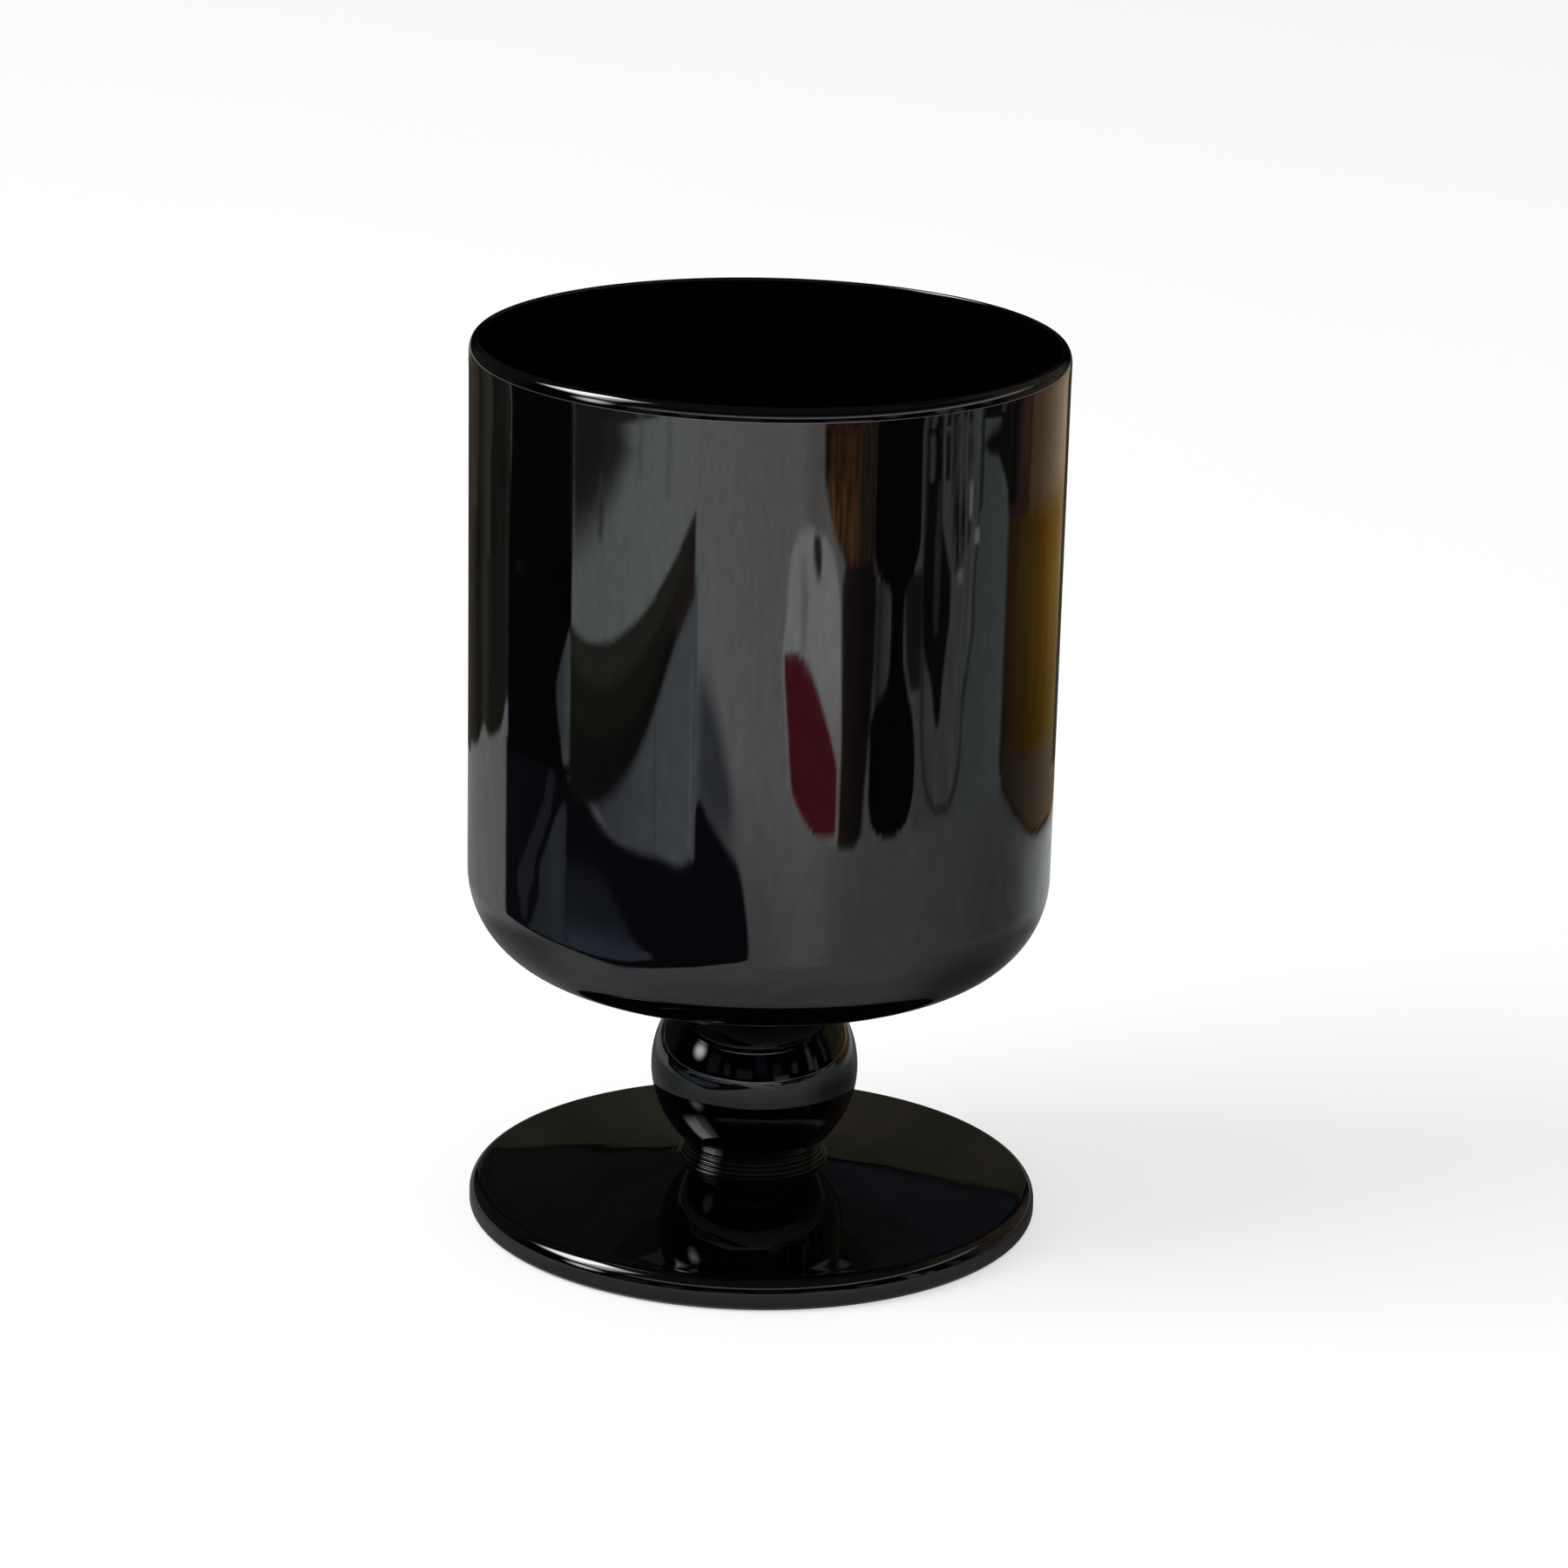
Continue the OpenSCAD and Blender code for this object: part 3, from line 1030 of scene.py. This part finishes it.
right_forms = [
    # Grey field at the right, dark at its top
    (
        lying([(60, 236, 900), (88, 240, 900), (107, 244, 900)], 8, 1.5),
        fade(62, 106, (0.36, 0.38, 0.38), (0.32, 0.37, 0.37), 0),
    ),
    (
        lying(
            [
                (87, 500, 900), (94, 484, 900), (98, 480, 900), (102, 463, 900), (105, 448, 900),
                (108, 438, 900),
            ],
            4,
            1.5,
        ),
        (0.03, 0.03, 0.032),
    ),
    (upright([(500, 98.6, 101.4), (900, 98.6, 101.4)], 0.7), (0.15, 0.15, 0.16)),
    # Pale patch, and brown and dark uprights
    (upright([(430, 15, 23), (470, 14, 22), (900, 15, 24)], 3.0), (0.8, 0.76, 0.74)),
    (
        upright(
            [
                (398, 33, 36), (410, 30, 36), (427, 26.5, 36), (448, 23.7, 36), (482, 21, 36),
                (900, 22, 36),
            ],
            0.9,
        ),
        streaked(fade(440, 505, (0.46, 0.22, 0.09), (0.2, 0.09, 0.042)), 1.1, 3.3, 1.2, 40),
    ),
    (
        upright([(385, 35, 42), (900, 35.5, 42)], 0.9),
        streaked((0.13, 0.092, 0.06), 0.9, 5.1, 1.2, 50),
    ),
    (
        upright(
            [
                (233, 31, 37), (240, 29, 39.5), (262, 29, 40.5), (300, 30, 42), (340, 30, 43),
                (395, 29.5, 43), (408, 31, 41),
            ],
            0.9,
            True,
        ),
        fade(30, 41, (0.1, 0.075, 0.07), (0.045, 0.034, 0.038), 0),
    ),
    # Bright rounded form, with a dark spot near its tip and a red part
    (
        upright(
            [
                (236, 26, 30), (242, 20, 30.5), (250, 15, 30.6), (262, 11.5, 30.6),
                (280, 9.8, 30.8), (304, 8.6, 30.6), (328, 7.4, 30), (350, 6.8, 29.5),
                (371, 7.6, 29), (395, 8, 27.9), (410, 8.6, 26.3), (420, 9.6, 24.5),
                (430, 11.3, 21.5), (437, 13.5, 17.5),
            ],
            0.5,
            True,
        ),
        fade(250, 350, (1.15, 1.0, 0.95), (1.75, 1.75, 1.75)),
    ),
    (upright([(345, 14, 15), (385, 13.5, 16), (415, 13, 14)], 1.6, True), (1.05, 1.05, 1.06)),
    (upright([(398, 19.5, 20.5), (415, 17.7, 21), (431, 17.5, 20)], 0.4, True), (0.06, 0.06, 0.06)),
    (
        upright(
            [
                (240, 22, 29), (247, 18, 29.2), (256, 14.5, 29.3), (266, 12, 29.3), (280, 10.8, 29),
                (295, 10, 26.7), (307, 9.3, 24.4), (319, 8.6, 22), (333, 7.8, 19), (343, 7.5, 16),
                (350, 7.3, 12),
            ],
            0.4,
            True,
        ),
        (0.5, 0.07, 0.1),
    ),
    # Grey strips, and a long black form with a round end
    (
        upright([(310, 43, 48.5), (395, 43.5, 49)], 1.0, True),
        fade(43, 48, (0.1, 0.1, 0.1), (0.3, 0.31, 0.31), 0),
    ),
    (upright([(318, 58, 62), (335, 56, 64), (400, 54, 64)], 1.2, True), (0.07, 0.07, 0.075)),
    (
        upright(
            [
                (236, 49, 53.5), (242, 44.3, 58), (256, 42.2, 60.7), (271, 42, 61), (285, 42, 60.7),
                (304, 42.2, 59.2), (316, 45.5, 57.3), (323, 48, 56.4), (338, 49, 54.8),
                (380, 49, 54.6), (389, 48, 55.5), (393, 45.8, 57), (400, 43, 58.4),
                (415, 41.8, 60.4), (434, 41.6, 61), (900, 41.6, 60.6),
            ],
            0.4,
        ),
        (0.013, 0.013, 0.013),
    ),
    # Grey form with a paler middle and a dark one in it
    (
        upright(
            [
                (241, 71.5, 77), (249, 67.5, 80), (261, 65, 82.2), (280, 63.4, 83),
                (299, 62.6, 83.4), (333, 62, 86.2), (352, 62, 88.2), (381, 62, 87.8), (430, 62, 89),
            ],
            0.6,
        ),
        (0.16, 0.165, 0.165),
    ),
    (
        upright(
            [
                (247, 71, 76.5), (258, 67.5, 79.5), (272, 65.5, 81.3), (290, 64.4, 82),
                (314, 64, 82.6), (333, 64, 84.6), (352, 64, 86.2), (381, 64, 86), (430, 64, 88),
            ],
            0.7,
        ),
        streaked((0.36, 0.395, 0.385), 0.28, 1.9, 2.4, 60),
    ),
    (
        upright(
            [
                (292, 70.2, 71.2), (299, 69, 71.8), (319, 67.2, 72.6), (338, 64, 73.6),
                (360, 62.6, 75), (391, 62.2, 75.2), (410, 62.4, 73.2), (440, 63, 70), (900, 64, 68),
            ],
            0.7,
        ),
        (0.03, 0.028, 0.028),
    ),
    (
        upright([(355, 67.5, 69.5), (400, 67, 70), (440, 67.5, 69.5), (470, 68, 69)], 0.6, True),
        (0.16, 0.14, 0.11),
    ),
    # Streaks, lines and small lights above them
    (
        upright([(396, 76, 79), (420, 74.5, 84), (450, 73.5, 84), (900, 74, 82)], 1.0),
        streaked((0.16, 0.16, 0.16), 1.6, 7.7, 1.4, 45),
    ),
    (upright([(410, 78.5, 79.2), (470, 77.5, 78.2), (900, 77, 78)], 0.35), (0.4, 0.41, 0.41)),
    (upright([(388, 78.5, 81), (396, 78, 81)], 0.4, True), (0.9, 0.9, 0.92)),
    (upright([(400, 82, 82.6), (480, 80.5, 81.2), (900, 80, 81)], 0.35), (0.5, 0.51, 0.52)),
    (upright([(436, 82.8, 84.6), (464, 82.6, 84.6)], 0.5, True), (0.95, 0.96, 0.98)),
    (upright([(414, 86.5, 88.8), (426, 86.6, 89)], 0.6, True), (1.1, 1.12, 1.15)),
    (upright([(440, 89, 90), (900, 88.5, 90)], 0.5), (0.06, 0.06, 0.07)),
    (upright([(470, 71, 73), (900, 70.5, 72.5)], 0.6), (0.05, 0.05, 0.05)),
    (upright([(470, 64, 66), (900, 65, 70)], 0.6), (0.3, 0.3, 0.3)),
]
amber_forms = [
    # Amber form with a dark edge and a paler top
    (
        lying(
            [
                (105.5, 255, 1200), (109, 242, 1200), (113.4, 232, 1200), (118, 223.6, 1200),
                (124, 215, 1200), (130.7, 206, 1200), (136.5, 202, 1200), (143, 200, 1200),
                (150, 198, 1200), (158, 198, 1200), (168, 200, 1200), (178, 215, 1200),
            ],
            1.5,
            1.6,
        ),
        streaked(amber_tone, 0.16, 4.4, 6, 80),
    ),
    (
        lying(
            [(107, 240, 268), (118, 222, 256), (130.7, 205, 250), (143, 199, 250), (178, 200, 252)],
            12,
            3,
        ),
        fade(110, 150, (0.09, 0.075, 0.05), (0.19, 0.14, 0.09), 0),
    ),
    (
        lying(
            [
                (108, 242, 246), (113.4, 232, 235), (118, 223, 227), (124, 215, 218),
                (130.7, 206, 209), (136.5, 202, 205), (143, 200, 203), (158, 199, 202),
            ],
            1.5,
        ),
        (0.06, 0.035, 0.02),
    ),
    (
        lying([(119, 436, 1200), (125, 430, 1200), (145, 428, 1200), (178, 428, 1200)], 22, 3.0),
        streaked(fade(122, 155, (0.28, 0.18, 0.1), (0.56, 0.42, 0.28), 0), 0.22, 6.1, 5, 90),
    ),
    (lying([(105, 432, 1200), (110, 424, 1200), (120, 424, 1200)], 5, 1.0), (0.11, 0.062, 0.055)),
    (lying([(105, 436, 1200), (110.5, 436, 1200)], 8, 1.5), (0.03, 0.026, 0.028)),
    (lying([(113, 463, 1200), (118.6, 463, 1200)], 4, 0.8), (0.17, 0.085, 0.068)),
]

ground_paint = layers(*near_forms, *left_forms, *right_forms, *amber_forms)
sheet(
    "ground_tones",
    steps(41, 90, 7) + steps(93, 300, 3) + steps(304, 560, 4) + steps(572, 800, 12),
    list(WALL_RAYS),
    ground_place,
    ground_paint,
    streak=0.1,
)

# The ground behind the goblet, which the wall doesn't mirror, and the bright ground further off
BACK_CARD_R = 226
BEHIND_CARD = (0.045, 0.038, 0.03)


def back_tone(a, d):
    if d < BACK_CARD_R - 1:
        return ground_tone(a, d, a)
    return BEHIND_CARD


sheet(
    "ground_back",
    steps(39, 800, 20),
    steps(-180, 180, 3),
    lambda a, d: polar(a, d, BACK_Z),
    layers((everywhere, back_tone)),
    streak=0.04,
)

# Brightness of the far ground, by azimuth: painted light, above white at the camera's side
FAR_LINE = [
    (-180, 0.3), (-120, 0.5), (-85, 0.8), (-62, 1.6), (-30, 1.9), (0, 2.4), (30, 2.3), (46, 1.3),
    (62, 0.9), (100, 0.7), (140, 0.4), (180, 0.3),
]


def far_tone(a, d):
    level = smooth_line(FAR_LINE, a)[0] * (1 - 0.98 * smoothstep(1000, 1150, d))
    return (level * 0.98, level, level * 1.01, 1.0)


sheet(
    "ground_far",
    steps(800, 1000, 50) + steps(1030, 1400, 30),
    steps(-180, 180, 3),
    lambda a, d: polar(a, d, FAR_Z),
    far_tone,
    streak=0.04,
)

# Low brown card behind the goblet. Forms that start at BELOW reach down past the card's lower edge
BELOW = -9
sheet(
    "back_card",
    steps(0, 110, 2),
    steps(150, 210, 1),
    lambda a, z: polar(a, BACK_CARD_R, z),
    layers(
        (
            lying(
                [
                    (150, BELOW, 96), (160, BELOW, 96), (171, BELOW, 94), (179, BELOW, 84),
                    (181, BELOW, 82), (186, BELOW, 77), (200, BELOW, 72), (210, BELOW, 70),
                ],
                1.2,
                0.5,
            ),
            fade(176, 184, (0.056, 0.05, 0.036), (0.05, 0.05, 0.036), 0),
        ),
    ),
    streak=0.25,
)


# The dark surround further off, by azimuth and height angle, with upright glints at the camera's side
def surround_tone(a, e):
    back = smoothstep(150, 168, abs(a))
    front = 0.045 * smoothstep(34, 44, e) * (1 - smoothstep(90, 130, abs(a)))
    level = 0.004 + 0.018 * back + front
    return (level, level, level * 1.05)


def glint(a0, a1, e0, e1, tone):
    """A soft upright patch between two azimuths and two height angles."""
    def cover(a, e):
        across = smoothstep(a0 - 1.5, a0 + 1.5, a) * (1 - smoothstep(a1 - 1.5, a1 + 1.5, a))
        return across * smoothstep(e0 - 1, e0 + 1, e) * (1 - smoothstep(e1 - 4, e1 + 4, e))
    return cover, tone


# How far off the surround stands, and the height angle that it reaches
SURROUND = 1400
SURROUND_TOP = 64

sheet(
    "surround",
    steps(0, 36, 1) + steps(38, SURROUND_TOP, 2),
    steps(-180, 180, 1),
    lambda a, e: sloped(a, SURROUND, e),
    layers(
        (everywhere, surround_tone),
        (
            lying([(98, BELOW, 52), (112, BELOW, 56), (150, BELOW, 50)], 5, 6),
            streaked((0.11, 0.085, 0.058), 0.7, 9.1, 8, 7),
        ),
        (lying([(-152, BELOW, 60), (-104, BELOW, 60)], 5, 7), (0.035, 0.033, 0.03)),
        (lying([(169, 24, 28), (172, 23, 31), (177, 25, 32)], 2, 1.2), (0.026, 0.031, 0.037)),
        (
            lying([(155, BELOW, 22.6), (168, BELOW, 22.8), (179, BELOW, 22.6)], 0.6, 1),
            (0.003, 0.003, 0.004),
        ),
        (
            lying([(-179, BELOW, 18.4), (-166, BELOW, 18.2), (-155, BELOW, 18)], 0.5, 1),
            (0.005, 0.005, 0.006),
        ),
        glint(-54, -40, 4, 22, (0.07, 0.065, 0.085)),
        glint(-33, -26, 4, 16, (0.1, 0.095, 0.12)),
        glint(-18, -2, 3, 12, (0.1, 0.095, 0.13)),
        glint(2, 14, 6, 30, (0.035, 0.035, 0.06)),
        glint(20, 30, 3, 18, (0.05, 0.05, 0.08)),
        glint(22, 38, 0.5, 3, (0.5, 0.5, 0.56)),
        glint(43, 49, 5, 16, (0.16, 0.155, 0.15)),
        glint(64, 70, 3, 24, (0.3, 0.29, 0.29)),
        glint(72, 76, 1, 12, (0.3, 0.29, 0.3)),
        glint(86, 91, 4, 24, (0.1, 0.1, 0.17)),
    ),
    streak=0.25,
)

CAP_Z = sloped(0, SURROUND, SURROUND_TOP)[2]
sheet(
    "surround_top",
    [0, SURROUND],
    steps(-180, 180, 5),
    lambda a, d: polar(a, d, CAP_Z),
    lambda a, d: (0.045, 0.045, 0.048, 1.0),
    streak=0.2,
)

# Slim strip light in front, which lines the lip
# It shows only in the glass and lights nothing: a painted bright line along the lip
STRIP_R = 300
sheet(
    "painted_lip_line_card",
    steps(174, 262, 4),
    steps(-60, 120, 3),
    lambda a, z: polar(a, STRIP_R, z),
    layers(
        (
            lying([(-48, 180, 250), (-30, 180, 250), (108, 180, 250)], 5, 10),
            graded(
                [
                    (184, 1.15, 1.15, 1.15), (204, 1.15, 1.15, 1.15), (216, 0.3, 0.3, 0.3),
                    (250, 0.2, 0.2, 0.2),
                ],
            ),
        ),
    ),
    streak=0.2,
)

# Large soft light at the left, brighter towards its top: a low round part and a high long one
# It shows only in the glass and lights nothing: a painted highlight on the lip, ball and foot
LIGHT_LEVELS = [(4, 5.0), (19, 7.0), (27, 4.0), (34, 9.0), (44, 13.0), (60, 14.0)]


def light_tone(a, e):
    level = smooth_line(LIGHT_LEVELS, e)[0]
    level *= 1 - 0.68 * smoothstep(-84, -75, a) * smoothstep(24, 31, e)
    return (level * 0.93, level * 0.96, level)


def light_cover(a, e):
    low = 1 - smoothstep(1, 11, math.hypot((a + 69.5) * 0.95, e - 19.5))
    high = smoothstep(-110, -99, a) * (1 - smoothstep(-70, -60, a))
    high *= smoothstep(29, 38, e) * (1 - smoothstep(55, 61, e))
    return max(low, high)


LIGHT_AT = 1200
sheet(
    "painted_highlight_card",
    steps(4, 62, 1),
    steps(-111, -55, 1),
    lambda a, e: sloped(a, LIGHT_AT, e),
    layers((light_cover, light_tone)),
    streak=0.0,
)

# Soft light from the same side for the floor and its shadow
LAMP_AT = (-1.1, -0.3, 1.0)
LAMP_AIM = Vector((0, 0, 0.05))
LAMP_SIZE = 0.9
LAMP_POWER = 20.0
lamp_data = bpy.data.lights.new("soft_light", "AREA")
lamp_data.shape = "SQUARE"
lamp_data.size = LAMP_SIZE
lamp_data.energy = LAMP_POWER
lamp = bpy.data.objects.new("soft_light", lamp_data)
lamp.location = LAMP_AT
lamp.rotation_euler = (LAMP_AIM - lamp.location).to_track_quat("-Z", "Y").to_euler()
lamp.visible_glossy = False
lamp.visible_camera = False
bpy.context.scene.collection.objects.link(lamp)

# World: white where the camera and the glass see it, and plain soft light on the floor
WORLD_LEVEL = 0.75
world = bpy.data.worlds.new("studio")
world.use_nodes = True
world_tree = world.node_tree
world_path = world_tree.nodes.new("ShaderNodeLightPath")
seen = world_tree.nodes.new("ShaderNodeMath")
seen.operation = "MAXIMUM"
world_tree.links.new(world_path.outputs["Is Camera Ray"], seen.inputs[0])
world_tree.links.new(world_path.outputs["Is Glossy Ray"], seen.inputs[1])
seen_all = world_tree.nodes.new("ShaderNodeMath")
seen_all.operation = "MAXIMUM"
world_tree.links.new(seen.outputs["Value"], seen_all.inputs[0])
world_tree.links.new(world_path.outputs["Is Transmission Ray"], seen_all.inputs[1])
world_level = world_tree.nodes.new("ShaderNodeMapRange")
world_level.inputs["To Min"].default_value = WORLD_LEVEL
world_level.inputs["To Max"].default_value = 1.0
world_tree.links.new(seen_all.outputs["Value"], world_level.inputs["Value"])
backdrop = world_tree.nodes["Background"]
backdrop.inputs["Color"].default_value = (1, 1, 1, 1)
world_tree.links.new(world_level.outputs["Result"], backdrop.inputs["Strength"])
bpy.context.scene.world = world
bpy.context.scene.view_settings.view_transform = "Standard"
